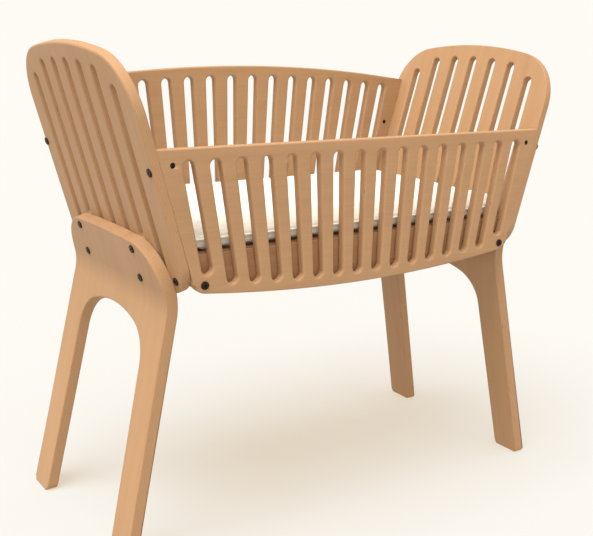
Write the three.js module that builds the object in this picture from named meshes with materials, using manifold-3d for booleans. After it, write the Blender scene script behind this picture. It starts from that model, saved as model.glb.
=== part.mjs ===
// A free-standing baby crib in birch plywood: two slotted end panels that lean outward, two slotted
// side panels bolted between them, two bent-plywood leg frames, a mattress board on two base rails,
// and a mattress that lifts out. Millimetres, +Z up, +X along the crib, -Y towards the low front side.
// The origin is on the floor, under the middle of the crib.
import * as THREE from 'three';
import { mergeVertices } from 'three/addons/utils/BufferGeometryUtils.js';
import Module from 'manifold-3d';

const wasm = await Module();
wasm.setup();

// ---------------------------------------------------------------- driving dimensions
const railLength = 900; // between the end panels' inner faces, at the top of the front side panel
const overallWidth = 496; // over the outer faces of the two side panels
const basketBottom = 494; // lowest point of the side panels' arched lower edge
const frontHeight = 278; // front side panel, lowest point to its straight top edge
const backHeight = 390; // back side panel, lowest point to the crown of its arched top edge
const backTopRadius = 3250; // arch of the back side panel's top edge
const bottomRadius = 2950; // arch of both side panels' lower edge
const sideCornerRadius = 28; // lower corners of the side panels

const endLean = THREE.MathUtils.degToRad(16); // end panels lean outward from the vertical
const legSplay = THREE.MathUtils.degToRad(12); // legs lean outward towards the floor
const panelThickness = 18;
const legThickness = 24;

const endPanelDrop = 3.5; // end panel's lower edge below the ends of the side panels' arch
const endPanelLength = 445; // end panel along its slope
const endTopRadius = 950; // gentle arch along the top
const endCornerRadius = 110; // large upper corners
const endFootRadius = 58; // lower corners

const slotWidth = 22;
const sideSlotCount = 16;
const sideSlotTopMargin = 21; // wood left above each side slot
const sideSlotBottomMargin = 18.5; // wood left below each side slot
const outerSlotRise = 17; // the outermost side slots stop this much higher, clear of a bolt
const slotEndMarginTop = 54; // last slot's axis to the panel's end, at the rail top
const slotEndMarginBottom = 29; // the same, at the lowest point of the panel
const endSlotCount = 7;
const endSlotSideMargin = 54; // outermost end slot to the panel's side
const endSlotTopMargin = 28; // wood left above each end slot
const outerEndSlotDrop = 20; // the two outermost end slots start this much lower
const endSlotBottomMargin = 30; // wood left below each long end slot

const legOverlap = 99; // leg frame's top edge above the end panel's lower edge
const bendBelowPanel = 13.5; // middle of the leg's bend, below the end panel's lower edge
const bendRadius = 110; // to the middle of the plywood
const legFlare = 21; // each leg's outer edge runs out by this much, shoulder to floor
const legWidthTop = 66; // one leg, where the arch starts to round
const legWidthFloor = 70;
const legHeadGap = 3.2; // leg frame's shoulder to the head of a lower end bolt
const legShoulderRadius = 94;
const legTopRadius = 3000; // slight crown along the leg frame's top
const archDrop = 20; // crown of the arch below the lower end of the bend
const archRadius = 300; // crown of the arch
const archCornerRadius = 76;
const archSpring = 91; // where the arch starts to round, below its crown
const footRadius = 9;

const baseRailThickness = 18;
const baseRailInset = 3; // rail's arched lower edge above the side panel's
const baseRailRise = 65.5; // rail's top above the ends of the side panels' arch
const boardThickness = 12;
const boardRise = 2; // board's top above the rails' top
const ledgeWidth = 10; // rebate in each rail that carries the board
const boardSlotCount = 11;
const boardSlotMargin = 70; // board's long edge to the end of a slot
const boardEndGap = 2;
const boardSideGap = 1;

const mattressThickness = 47;
const mattressCornerRadius = 34;
const mattressSideGap = 5;
const mattressEndGap = 4;

const boltRadius = 3;
const boltHeadRadius = 7.5;
const boltHeadHeight = 2.6;
const hexKeyWidth = 4;
const nutRadius = 5; // cross-dowel barrel nuts and threaded inserts
const insertLength = 12;
const nutFromJoint = 21; // barrel nut's axis to the end panel's inner face
const shankPastNut = 2;
const boreRelief = 2; // an end bolt's bore goes this much deeper than the bolt
const topBoltDrop = 33; // upper end bolts below the front panel's top, at the end panel's inner face
const lowBoltRise = 25.5; // lower end bolts above the ends of the side panels' arch
const railBoltRise = 14.5; // side-panel-to-rail bolts above the ends of the arch
const railBoltFromEnd = 21; // side-panel-to-rail bolt to the panel's end
const legBoltSlot = 2; // leg bolts line up with this slot, counted from the middle
const legBoltDrop = 18; // upper leg bolts below the leg frame's top
const legBoltRise = 24; // lower leg bolts above the end panel's lower edge
const woodAboveInsert = 3; // between a leg bolt's insert and the slot above it

const seatGap = 0.3; // between faces that touch
const recess = 0.6; // inserts and barrel nuts sit this much below the wood's face
const boltClearance = 0.3; // around a shank
const nutClearance = 0.3; // around a barrel nut or an insert

const slotSegments = 6;
const cornerSegments = 12;
const archSegments = 9; // each half of an arched edge
const bendStrips = 8;
const roundSegments = 10;

// ---------------------------------------------------------------- derived places
const halfWidth = overallWidth / 2;
const railHeight = basketBottom + frontHeight;
const leanFoot = railLength / 2 - railHeight * Math.tan(endLean); // inner plane at floor level
const endPlaneX = (z) => leanFoot + z * Math.tan(endLean);
const slope = (z) => z / Math.cos(endLean); // height on the inner plane as a length up its slope
const sideBottomZ = (x) => basketBottom + bottomRadius - Math.sqrt(bottomRadius ** 2 - x ** 2);
const archEndZ = sideBottomZ(endPlaneX(basketBottom)); // the side panels' arch, at its ends
const endPanelBottom = slope(archEndZ - endPanelDrop);
const baseRailTop = archEndZ + baseRailRise;
const boardTop = baseRailTop + boardRise;
const boardBottom = boardTop - boardThickness;
const endSlotPitch = (halfWidth - endSlotSideMargin - slotWidth / 2) / ((endSlotCount - 1) / 2);
const backTopZ = (x) => basketBottom + backHeight - backTopRadius + Math.sqrt(backTopRadius ** 2 - x ** 2);

// Leaning frame of the +X end: x outward from the end panel's inner face, z up its slope.
const leaning = new THREE.Matrix4().makeRotationY(endLean);
leaning.setPosition(leanFoot, 0, 0);

// ---------------------------------------------------------------- solids
const translation = (x, y, z) => new THREE.Matrix4().makeTranslation(x, y, z);
const turnX = (angle) => new THREE.Matrix4().makeRotationX(angle);
const turnY = (angle) => new THREE.Matrix4().makeRotationY(angle);
const turnZ = (angle) => new THREE.Matrix4().makeRotationZ(angle);
const quarter = Math.PI / 2;

function toSolid(geometry) {
  const bare = new THREE.BufferGeometry();
  bare.setAttribute('position', geometry.attributes.position.clone());
  bare.setIndex(geometry.index);
  const merged = mergeVertices(bare, 1e-3);
  const vertProperties = new Float32Array(merged.attributes.position.array);
  const triVerts = new Uint32Array(merged.index.array);
  return new wasm.Manifold(new wasm.Mesh({ numProp: 3, vertProperties, triVerts }));
}

function toGeometry(solid) {
  const mesh = solid.getMesh();
  const geometry = new THREE.BufferGeometry();
  geometry.setAttribute('position', new THREE.BufferAttribute(mesh.vertProperties, 3));
  geometry.setIndex(new THREE.BufferAttribute(mesh.triVerts, 1));
  return geometry;
}

function cut(geometry, cutters) {
  let solid = toSolid(geometry);
  for (const cutter of cutters) {
    solid = solid.subtract(toSolid(cutter));
  }
  return toGeometry(solid);
}

// ---------------------------------------------------------------- outlines
function arc(centre, radius, from, to, segments) {
  const points = [];
  for (let i = 0; i <= segments; i += 1) {
    const angle = from + ((to - from) * i) / segments;
    points.push(new THREE.Vector2(centre.x + radius * Math.cos(angle), centre.y + radius * Math.sin(angle)));
  }
  return points;
}

// Rounds the corner between a straight edge and an arched edge centred on the middle line. The corner
// is on the right; the edge runs through `point` along `direction`; `crown` is the arched edge's
// middle, and the arc's centre lies on the inner side of it. Returns the points from the straight edge
// to the arched edge's middle.
function cornerToArch(point, direction, crown, archRadiusSigned, radius) {
  const bigRadius = Math.abs(archRadiusSigned);
  const bigCentre = new THREE.Vector2(0, crown - archRadiusSigned);
  const inward = new THREE.Vector2(-direction.y, direction.x).multiplyScalar(direction.y > 0 ? 1 : -1);
  const start = point.clone().addScaledVector(inward, radius).sub(bigCentre);
  const b = start.dot(direction);
  const c = start.lengthSq() - (bigRadius - radius) ** 2;
  const along = -b + Math.sqrt(b * b - c);
  const centre = start.clone().addScaledVector(direction, along);
  const toArch = Math.atan2(centre.y, centre.x);
  centre.add(bigCentre);
  const toEdge = Math.atan2(-inward.y, -inward.x);
  const corner = arc(centre, radius, toEdge, toArch, cornerSegments);
  const crownAngle = archRadiusSigned > 0 ? quarter : -quarter;
  const arch = arc(bigCentre, bigRadius, toArch, crownAngle, archSegments);
  return [...corner, ...arch.slice(1)];
}

// A closed outline from its right half, listed from the middle line round to the middle line.
function mirrored(rightHalf) {
  const leftHalf = rightHalf.slice(1, -1).map((p) => new THREE.Vector2(-p.x, p.y));
  return [...rightHalf, ...leftHalf.reverse()];
}

// A round-ended slot whose end circles are centred on a and b.
function slot(a, b, width, segments) {
  const heading = Math.atan2(b.y - a.y, b.x - a.x);
  const far = arc(b, width / 2, heading - quarter, heading + quarter, segments);
  const near = arc(a, width / 2, heading + quarter, heading + 3 * quarter, segments);
  return new THREE.Path([...far, ...near]);
}

function plate(outline, slots, depth) {
  const shape = new THREE.Shape(outline);
  shape.holes = slots;
  return new THREE.ExtrudeGeometry(shape, { depth, bevelEnabled: false });
}

// Centre of a side slot's axis at height z, for slot positions -1 (left) to 1 (right).
function sideSlotX(position, z) {
  const topX = endPlaneX(railHeight) - slotEndMarginTop;
  const bottomX = endPlaneX(basketBottom) - slotEndMarginBottom;
  const share = (z - basketBottom) / frontHeight;
  return position * (bottomX + (topX - bottomX) * share);
}

// The lower part shared by side panels and base rails: from the middle of the arched lower edge to the
// point where the sloping end starts.
function archedFoot(lift, radius) {
  const foot = new THREE.Vector2(endPlaneX(basketBottom) - seatGap / Math.cos(endLean), basketBottom);
  const down = new THREE.Vector2(-Math.sin(endLean), -Math.cos(endLean));
  return cornerToArch(foot, down, basketBottom + lift, -bottomRadius, radius).reverse();
}

function sideEndX(z) {
  return endPlaneX(z) - seatGap / Math.cos(endLean);
}

// ---------------------------------------------------------------- fasteners
// Bolt along +Z: the head's seat is at z = 0, the head above it and the shank below it.
function boltGeometry(length) {
  const rim = 1.1;
  const profile = [
    [0, -length],
    [boltRadius, -length],
    [boltRadius, 0],
    [boltHeadRadius, 0],
    [boltHeadRadius, boltHeadHeight - rim],
    [boltHeadRadius - rim, boltHeadHeight],
    [0, boltHeadHeight],
  ].map(([r, z]) => new THREE.Vector2(r, z));
  const body = new THREE.LatheGeometry(profile, roundSegments).applyMatrix4(turnX(quarter));
  const keyRadius = hexKeyWidth / Math.sqrt(3);
  const keyDepth = 2 * boltHeadHeight;
  const key = new THREE.CylinderGeometry(keyRadius, keyRadius, keyDepth, 6);
  key.applyMatrix4(turnX(quarter)).applyMatrix4(translation(0, 0, boltHeadHeight));
  return cut(body, [key]);
}

// Round hole or pin along +Z, from z = 0 to z = length.
function rod(radius, length) {
  const geometry = new THREE.CylinderGeometry(radius, radius, length, roundSegments);
  return geometry.applyMatrix4(turnX(quarter)).applyMatrix4(translation(0, 0, length / 2));
}

// Cross-dowel barrel nut along Z, centred, with a cross hole along X and a screwdriver slot at +Z.
function barrelNutGeometry(length) {
  const slotDeep = 1.2;
  const slotWide = 1.4;
  const body = rod(nutRadius, length).applyMatrix4(translation(0, 0, -length / 2));
  const holeLength = 3 * nutRadius;
  const hole = rod(boltRadius + boltClearance, holeLength).applyMatrix4(turnY(quarter));
  hole.applyMatrix4(translation(-holeLength / 2, 0, 0));
  const groove = new THREE.BoxGeometry(slotWide, 3 * nutRadius, 2 * slotDeep);
  groove.applyMatrix4(translation(0, 0, length / 2));
  return cut(body, [hole, groove]);
}

// Threaded insert along +Z, from z = 0 to its length.
function insertGeometry() {
  const bore = boltRadius + boltClearance;
  const profile = [
    [bore, 0],
    [nutRadius, 0],
    [nutRadius, insertLength],
    [bore, insertLength],
    [bore, 0],
  ].map(([r, z]) => new THREE.Vector2(r, z));
  return new THREE.LatheGeometry(profile, roundSegments).applyMatrix4(turnX(quarter));
}

const boltHole = (length) => rod(boltRadius + boltClearance, length);
const nutHole = (length) => rod(nutRadius + nutClearance, length);

// ---------------------------------------------------------------- materials and placing
const finishes = {
  plywood: { color: 0xd2a373, roughness: 0.6, metalness: 0 },
  bronze: { color: 0x2e251f, roughness: 0.4, metalness: 0.8 },
  steel: { color: 0x8d8a84, roughness: 0.45, metalness: 0.9 },
  cotton: { color: 0xf3ecdf, roughness: 0.95, metalness: 0 },
};

const crib = new THREE.Group();

function add(parent, name, geometry, finish, matrix) {
  const mesh = new THREE.Mesh(geometry, new THREE.MeshStandardMaterial(finishes[finish]));
  mesh.name = name;
  if (matrix) {
    mesh.applyMatrix4(matrix);
  }
  parent.add(mesh);
}

// ---------------------------------------------------------------- bolt places
// Each end bolt is square to the end panel. It passes through the panel into the end of a side panel
// (upper) or a base rail (lower), where a barrel nut holds it.
const sidePanelY = halfWidth - panelThickness / 2;
const baseRailOuterY = halfWidth - panelThickness - seatGap;
const baseRailInnerY = baseRailOuterY - baseRailThickness;
const baseRailY = (baseRailOuterY + baseRailInnerY) / 2;
const endBolts = [
  { level: 'upper', y: sidePanelY, s: slope(railHeight - topBoltDrop) },
  { level: 'lower', y: baseRailY, s: slope(archEndZ + lowBoltRise) },
];
const legBoltY = legBoltSlot * endSlotPitch;
const legBolts = [
  { level: 'upper', s: endPanelBottom + legOverlap - legBoltDrop },
  { level: 'lower', s: endPanelBottom + legBoltRise },
];
const endBoltReach = nutFromJoint + nutRadius + shankPastNut; // past the inner face
const railBoltZ = archEndZ + railBoltRise;
const railBoltX = endPlaneX(railBoltZ) - railBoltFromEnd;
const railBoltReach = panelThickness + baseRailThickness + seatGap - recess;
const legBoltReach = legThickness + panelThickness + seatGap - recess;
const insertPocket = insertLength + recess + seatGap; // depth of an insert's hole

// Matrix that sends +Z to the leaning frame's outward direction, at a point of that frame.
function outwardAt(n, y, s) {
  return leaning.clone().multiply(translation(n, y, s)).multiply(turnY(quarter));
}

// ---------------------------------------------------------------- end panels
// Built in the leaning frame's (y, slope) plane.
function endPanelGeometry() {
  const top = endPanelBottom + endPanelLength;
  const side = new THREE.Vector2(halfWidth, endPanelBottom + endPanelLength / 2);
  const up = new THREE.Vector2(0, 1);
  const upperCorner = cornerToArch(side, up, top, endTopRadius, endCornerRadius);
  const footCentre = new THREE.Vector2(halfWidth - endFootRadius, endPanelBottom + endFootRadius);
  const lowerCorner = arc(footCentre, endFootRadius, -quarter, 0, cornerSegments);
  const middle = new THREE.Vector2(0, endPanelBottom);
  const outline = mirrored([middle, ...lowerCorner, ...upperCorner]);

  const middleSlot = (endSlotCount - 1) / 2;
  const slots = [];
  for (let i = 0; i < endSlotCount; i += 1) {
    const y = (i - middleSlot) * endSlotPitch;
    const outermost = i === 0 || i === endSlotCount - 1;
    const edge = top - endTopRadius + Math.sqrt(endTopRadius ** 2 - y ** 2);
    const high = edge - endSlotTopMargin - (outermost ? outerEndSlotDrop : 0) - slotWidth / 2;
    const overBolt = Math.abs(i - middleSlot) === legBoltSlot;
    const boltTop = legBolts[0].s + nutRadius + woodAboveInsert;
    const low = (overBolt ? boltTop : endPanelBottom + endSlotBottomMargin) + slotWidth / 2;
    slots.push(slot(new THREE.Vector2(y, low), new THREE.Vector2(y, high), slotWidth, slotSegments));
  }

  // The plate's plane (x, y) becomes the leaning frame's (y, slope), and its depth runs outward.
  const stand = new THREE.Matrix4().makeBasis(
    new THREE.Vector3(0, 1, 0),
    new THREE.Vector3(0, 0, 1),
    new THREE.Vector3(1, 0, 0),
  );
  const panel = plate(outline, slots, panelThickness).applyMatrix4(stand).applyMatrix4(leaning);

  const cutters = [];
  const through = 2 * panelThickness;
  for (const side of [-1, 1]) {
    for (const bolt of endBolts) {
      const bore = boltHole(through);
      cutters.push(bore.applyMatrix4(outwardAt(-panelThickness / 2, side * bolt.y, bolt.s)));
    }
    for (const bolt of legBolts) {
      const bore = boltHole(through);
      const pocket = nutHole(2 * insertPocket);
      cutters.push(bore.applyMatrix4(outwardAt(-panelThickness / 2, side * legBoltY, bolt.s)));
      cutters.push(pocket.applyMatrix4(outwardAt(-insertPocket, side * legBoltY, bolt.s)));
    }
  }
  return cut(panel, cutters);
}

// ---------------------------------------------------------------- bent leg frames
// The frame's outline is drawn flat, on the middle of the plywood: x across the crib, y along the
// sheet. Above bendStart the sheet lies on the end panel; below it curves and then runs to the floor.
const bendAngle = endLean + legSplay;
const bendMiddle = endPanelBottom - bendBelowPanel;
const bendStart = bendMiddle + bendRadius * Math.tan(bendAngle / 2);
const bendEnd = bendStart - bendRadius * bendAngle;
const legMiddle = panelThickness + seatGap + legThickness / 2;
const legShoulderY = baseRailY - boltHeadRadius - legHeadGap; // half width at the shoulders
const legFootY = legShoulderY + legFlare; // half width at the floor
const legSpringY = legShoulderY - legWidthTop; // inner edge of a leg, where the arch starts to round
const legInnerFootY = legFootY - legWidthFloor;

// A point of the flat sheet, and how far outward it is from the middle of the plywood, in the leaning
// frame.
function bendPoint(across, along, outward) {
  const turned = THREE.MathUtils.clamp((bendStart - along) / bendRadius, 0, bendAngle);
  const radius = bendRadius - outward;
  const n = legMiddle + bendRadius - radius * Math.cos(turned);
  const s = Math.min(bendStart, Math.max(along, bendStart)) - radius * Math.sin(turned);
  const above = Math.max(0, along - bendStart);
  const below = Math.max(0, bendEnd - along);
  return new THREE.Vector3(n + below * Math.sin(turned), across, s + above - below * Math.cos(turned));
}

const bendEndHeight = bendPoint(0, bendEnd, 0).applyMatrix4(leaning).z;
const legFloor = bendEnd - bendEndHeight / Math.cos(legSplay);

function legOutline() {
  const below = legFloor - legThickness;
  const shoulder = endPanelBottom + legOverlap - legShoulderRadius;
  const outerSlope = new THREE.Vector2(legShoulderY - legFootY, shoulder - legFloor).normalize();
  const outerFoot = new THREE.Vector2(legFootY, legFloor);
  outerFoot.addScaledVector(outerSlope, (below - legFloor) / outerSlope.y);
  const shoulderPoint = new THREE.Vector2(legShoulderY, shoulder);
  const crownTop = endPanelBottom + legOverlap;
  const dome = cornerToArch(shoulderPoint, outerSlope, crownTop, legTopRadius, legShoulderRadius);

  const archTop = bendEnd - archDrop;
  const spring = archTop - archSpring;
  const innerSlope = new THREE.Vector2(legSpringY - legInnerFootY, spring - legFloor).normalize();
  const innerFoot = new THREE.Vector2(legInnerFootY, legFloor);
  innerFoot.addScaledVector(innerSlope, (below - legFloor) / innerSlope.y);
  const springPoint = new THREE.Vector2(legSpringY, spring);
  const arch = cornerToArch(springPoint, innerSlope, archTop, archRadius, archCornerRadius);

  return mirrored([...arch.reverse(), innerFoot, outerFoot, ...dome]);
}

// Adds a point wherever the outline crosses one of the fold lines.
function crossFolds(outline, folds) {
  const points = [];
  outline.forEach((a, i) => {
    const b = outline[(i + 1) % outline.length];
    points.push(a);
    const crossed = folds.filter((fold) => (a.y - fold) * (b.y - fold) < 0);
    crossed.sort((f, g) => (b.y > a.y ? f - g : g - f));
    for (const fold of crossed) {
      points.push(a.clone().lerp(b, (fold - a.y) / (b.y - a.y)));
    }
  });
  return points;
}

function bentSheet() {
  const folds = [];
  for (let i = 0; i <= bendStrips; i += 1) {
    folds.push(bendStart + ((bendEnd - bendStart) * i) / bendStrips);
  }
  const outline = crossFolds(legOutline(), folds);
  const bands = [Infinity, ...folds, -Infinity];
  const positions = [];
  for (const outward of [legThickness / 2, -legThickness / 2]) {
    for (const p of outline) {
      positions.push(...bendPoint(p.x, p.y, outward).applyMatrix4(leaning).toArray());
    }
  }
  const count = outline.length;
  const triangles = [];
  for (let i = 0; i + 1 < bands.length; i += 1) {
    const near = 1e-6;
    const inBand = outline.map((p, index) => index).filter((index) => {
      const y = outline[index].y;
      return y <= bands[i] + near && y >= bands[i + 1] - near;
    });
    const faces = THREE.ShapeUtils.triangulateShape(inBand.map((index) => outline[index]), []);
    for (const [a, b, c] of faces) {
      triangles.push(inBand[a], inBand[b], inBand[c]);
      triangles.push(inBand[a] + count, inBand[c] + count, inBand[b] + count);
    }
  }
  for (let i = 0; i < count; i += 1) {
    const next = (i + 1) % count;
    triangles.push(i, i + count, next);
    triangles.push(next, i + count, next + count);
  }
  const geometry = new THREE.BufferGeometry();
  geometry.setAttribute('position', new THREE.Float32BufferAttribute(positions, 3));
  geometry.setIndex(triangles);
  return geometry;
}

// What is taken off a square corner at the floor, as a bar along X: the corner is at the origin and the
// wood lies towards +Y and +Z.
function footCorner(length) {
  const centre = new THREE.Vector2(footRadius, footRadius);
  const over = -2;
  const outline = [
    new THREE.Vector2(footRadius, over),
    ...arc(centre, footRadius, -quarter, -2 * quarter, 6),
    new THREE.Vector2(over, footRadius),
    new THREE.Vector2(over, over),
  ];
  const stand = new THREE.Matrix4().makeBasis(
    new THREE.Vector3(0, 1, 0),
    new THREE.Vector3(0, 0, 1),
    new THREE.Vector3(1, 0, 0),
  );
  return plate(outline, [], length).applyMatrix4(stand);
}

function legFrameGeometry() {
  const floorDepth = 200;
  const wide = 4 * halfWidth;
  const footX = bendPoint(0, legFloor, 0).applyMatrix4(leaning).x;
  const floor = new THREE.BoxGeometry(wide, wide, floorDepth);
  floor.applyMatrix4(translation(footX, 0, -floorDepth / 2));
  const cutters = [floor];
  const reach = 4 * legThickness;
  for (const side of [-1, 1]) {
    for (const [edge, turned] of [[legInnerFootY, 1], [legFootY, -1]]) {
      const corner = footCorner(reach);
      if (side * turned < 0) {
        corner.applyMatrix4(translation(-reach, 0, 0)).applyMatrix4(turnZ(Math.PI));
      }
      cutters.push(corner.applyMatrix4(translation(footX - reach / 2, side * edge, 0)));
    }
    for (const bolt of legBolts) {
      const bore = boltHole(2 * legThickness);
      cutters.push(bore.applyMatrix4(outwardAt(legMiddle - legThickness, side * legBoltY, bolt.s)));
    }
  }
  return cut(bentSheet(), cutters);
}

// ---------------------------------------------------------------- one end of the crib
// Everything here is made for the +X end; the -X end is the same group turned half round.
function buildEnd(end, angle) {
  const group = new THREE.Group();
  group.rotation.z = angle;
  crib.add(group);
  add(group, `${end}_end_panel`, endPanelGeometry(), 'plywood');
  add(group, `${end}_leg_frame`, legFrameGeometry(), 'plywood');
  for (const side of [-1, 1]) {
    const facesFront = angle === 0 ? side < 0 : side > 0;
    const where = `${end}_${facesFront ? 'front' : 'back'}`;
    for (const bolt of endBolts) {
      const seat = panelThickness + seatGap;
      const place = outwardAt(seat, side * bolt.y, bolt.s);
      add(group, `${where}_end_bolt_${bolt.level}`, boltGeometry(seat + endBoltReach), 'bronze', place);
    }
    for (const bolt of legBolts) {
      const seat = legMiddle + legThickness / 2 + seatGap;
      const boltPlace = outwardAt(seat, side * legBoltY, bolt.s);
      const insertPlace = outwardAt(recess, side * legBoltY, bolt.s);
      add(group, `${where}_leg_bolt_${bolt.level}`, boltGeometry(legBoltReach), 'bronze', boltPlace);
      add(group, `${where}_leg_insert_${bolt.level}`, insertGeometry(), 'steel', insertPlace);
    }
  }
}

// ---------------------------------------------------------------- side panels and base rails
// Both are drawn in the X-Z plane and stand with their outer face at y = outerY.
function standing(geometry, outerY, depth) {
  const backFace = outerY > 0 ? outerY : outerY + depth;
  return geometry.applyMatrix4(turnX(quarter)).applyMatrix4(translation(0, backFace, 0));
}

// Holes in a side panel's or rail's two ends: the end bolt's bore and its barrel nut's cross hole.
function endJointCutters(bolt, y) {
  const cutters = [];
  for (const angle of [0, Math.PI]) {
    const boreDepth = endBoltReach + boreRelief;
    const bore = boltHole(2 * boreDepth).applyMatrix4(outwardAt(-boreDepth, 0, bolt.s));
    const cross = nutHole(overallWidth).applyMatrix4(turnX(quarter)).applyMatrix4(translation(0, halfWidth, 0));
    const nut = nutPlace(bolt);
    cross.applyMatrix4(translation(nut.x, 0, nut.z));
    cutters.push(bore.applyMatrix4(turnZ(angle)).applyMatrix4(translation(0, y, 0)));
    cutters.push(cross.applyMatrix4(turnZ(angle)));
  }
  return cutters;
}

function nutPlace(bolt) {
  return new THREE.Vector3(-nutFromJoint, 0, bolt.s).applyMatrix4(leaning);
}

// Bores along Y for the two bolts that tie a side panel to its base rail. Each is centred on y = 0 and
// reaches `reach` to either side.
function railBoltCutters(hole, reach) {
  return [-1, 1].map((end) => {
    const bore = hole(2 * reach).applyMatrix4(turnX(quarter));
    return bore.applyMatrix4(translation(end * railBoltX, reach, railBoltZ));
  });
}

function sidePanelGeometry(topHalf, topOfSlot) {
  const foot = archedFoot(0, sideCornerRadius);
  const outline = mirrored([...foot, ...topHalf]);
  const slots = [];
  for (let i = 0; i < sideSlotCount; i += 1) {
    const position = (2 * i) / (sideSlotCount - 1) - 1;
    const outermost = i === 0 || i === sideSlotCount - 1;
    const lowX = sideSlotX(position, basketBottom);
    const low = sideBottomZ(lowX) + sideSlotBottomMargin + (outermost ? outerSlotRise : 0) + slotWidth / 2;
    const highX = sideSlotX(position, railHeight);
    const high = topOfSlot(highX) - sideSlotTopMargin - slotWidth / 2;
    const a = new THREE.Vector2(sideSlotX(position, low), low);
    const b = new THREE.Vector2(sideSlotX(position, high), high);
    slots.push(slot(a, b, slotWidth, slotSegments));
  }
  return plate(outline, slots, panelThickness);
}

function baseRailGeometry() {
  const foot = archedFoot(baseRailInset, sideCornerRadius);
  const end = new THREE.Vector2(sideEndX(baseRailTop), baseRailTop);
  const outline = mirrored([...foot, end, new THREE.Vector2(0, baseRailTop)]);
  return plate(outline, [], baseRailThickness);
}

function buildSide(side, outward, panel) {
  const outerY = outward * halfWidth;
  const [upper, lower] = endBolts;
  const bores = railBoltCutters(boltHole, overallWidth);
  const panelCutters = [...endJointCutters(upper, outward * sidePanelY), ...bores];
  const panelSolid = cut(standing(panel, outerY, panelThickness), panelCutters);
  add(crib, `${side}_side_panel`, panelSolid, 'plywood');

  const railSolid = standing(baseRailGeometry(), outward * baseRailOuterY, baseRailThickness);
  const rebate = new THREE.BoxGeometry(2 * railLength, 2 * ledgeWidth, 2 * boardThickness);
  rebate.applyMatrix4(translation(0, outward * baseRailInnerY, boardBottom - seatGap + boardThickness));
  const pockets = railBoltCutters(nutHole, baseRailInnerY + insertPocket);
  const railCutters = [rebate, ...endJointCutters(lower, outward * baseRailY), ...bores, ...pockets];
  add(crib, `${side}_base_rail`, cut(railSolid, railCutters), 'plywood');

  const facing = turnX(-outward * quarter); // turns +Z outward
  const turnedIn = turnX(outward * quarter);
  for (const end of ['left', 'right']) {
    const sign = end === 'left' ? -1 : 1;
    const where = `${end}_${side}`;
    const nuts = [
      { bolt: upper, wood: panelThickness, face: facing },
      { bolt: lower, wood: baseRailThickness, face: turnedIn },
    ];
    for (const { bolt, wood, face } of nuts) {
      const nut = nutPlace(bolt);
      const place = translation(sign * nut.x, outward * bolt.y, nut.z);
      place.multiply(turnY(sign * endLean)).multiply(face);
      add(crib, `${where}_barrel_nut_${bolt.level}`, barrelNutGeometry(wood - 2 * recess), 'bronze', place);
    }
    const boltY = outward * (halfWidth + seatGap);
    const insertY = outward * (baseRailInnerY + recess);
    const boltPlace = translation(sign * railBoltX, boltY, railBoltZ).multiply(facing);
    const insertPlace = translation(sign * railBoltX, insertY, railBoltZ).multiply(facing);
    add(crib, `${where}_rail_bolt`, boltGeometry(railBoltReach), 'bronze', boltPlace);
    add(crib, `${where}_rail_insert`, insertGeometry(), 'steel', insertPlace);
  }
}

function frontTop() {
  return [new THREE.Vector2(sideEndX(railHeight), railHeight), new THREE.Vector2(0, railHeight)];
}

function backTop() {
  const points = [];
  let x = sideEndX(railHeight);
  for (let i = 0; i < 8; i += 1) {
    x = sideEndX(backTopZ(x)); // settles where the sloping end meets the arched top
  }
  const centre = new THREE.Vector2(0, basketBottom + backHeight - backTopRadius);
  const start = Math.atan2(backTopZ(x) - centre.y, x);
  points.push(...arc(centre, backTopRadius, start, quarter, archSegments));
  return points;
}

// ---------------------------------------------------------------- mattress board and mattress
function mattressBoardGeometry() {
  const halfLength = endPlaneX(boardBottom) - boardEndGap;
  const half = baseRailInnerY + ledgeWidth - boardSideGap;
  const outline = [
    new THREE.Vector2(-halfLength, -half),
    new THREE.Vector2(halfLength, -half),
    new THREE.Vector2(halfLength, half),
    new THREE.Vector2(-halfLength, half),
  ];
  const slots = [];
  const pitch = (2 * halfLength) / (boardSlotCount + 1);
  const reach = half - boardSlotMargin - slotWidth / 2;
  for (let i = 1; i <= boardSlotCount; i += 1) {
    const x = -halfLength + i * pitch;
    slots.push(slot(new THREE.Vector2(x, -reach), new THREE.Vector2(x, reach), slotWidth, slotSegments));
  }
  return plate(outline, slots, boardThickness).applyMatrix4(translation(0, 0, boardBottom));
}

function mattressGeometry() {
  const bottom = boardTop + seatGap;
  const halfLength = endPlaneX(bottom) - mattressEndGap;
  const half = baseRailOuterY - mattressSideGap;
  const centre = new THREE.Vector2(halfLength - mattressCornerRadius, half - mattressCornerRadius);
  const corner = arc(centre, mattressCornerRadius, 0, quarter, 6);
  const right = [...corner.map((p) => new THREE.Vector2(p.x, -p.y)).reverse(), ...corner];
  const left = right.map((p) => new THREE.Vector2(-p.x, p.y)).reverse();
  return plate([...right, ...left], [], mattressThickness).applyMatrix4(translation(0, 0, bottom));
}

// ---------------------------------------------------------------- the crib
buildEnd('right', 0);
buildEnd('left', Math.PI);
buildSide('front', -1, sidePanelGeometry(frontTop(), () => railHeight));
buildSide('back', 1, sidePanelGeometry(backTop(), backTopZ));
add(crib, 'mattress_board', mattressBoardGeometry(), 'plywood');
add(crib, 'mattress', mattressGeometry(), 'cotton');

export default crib;
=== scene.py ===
# %% [markdown]
# # A plywood baby crib
# The crib is a slotted basket of warm birch plywood on two bent-plywood leg frames, with a soft
# mattress inside. Its exact solids come from the CAD model. This lesson rounds the machined edges
# over, gives the wood its veneer and plies, makes the bolts and sews the mattress, one piece at a
# time.

# %% Open the crib's frame
import math
import bmesh
import bpy
from mathutils import Matrix, Vector


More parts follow.
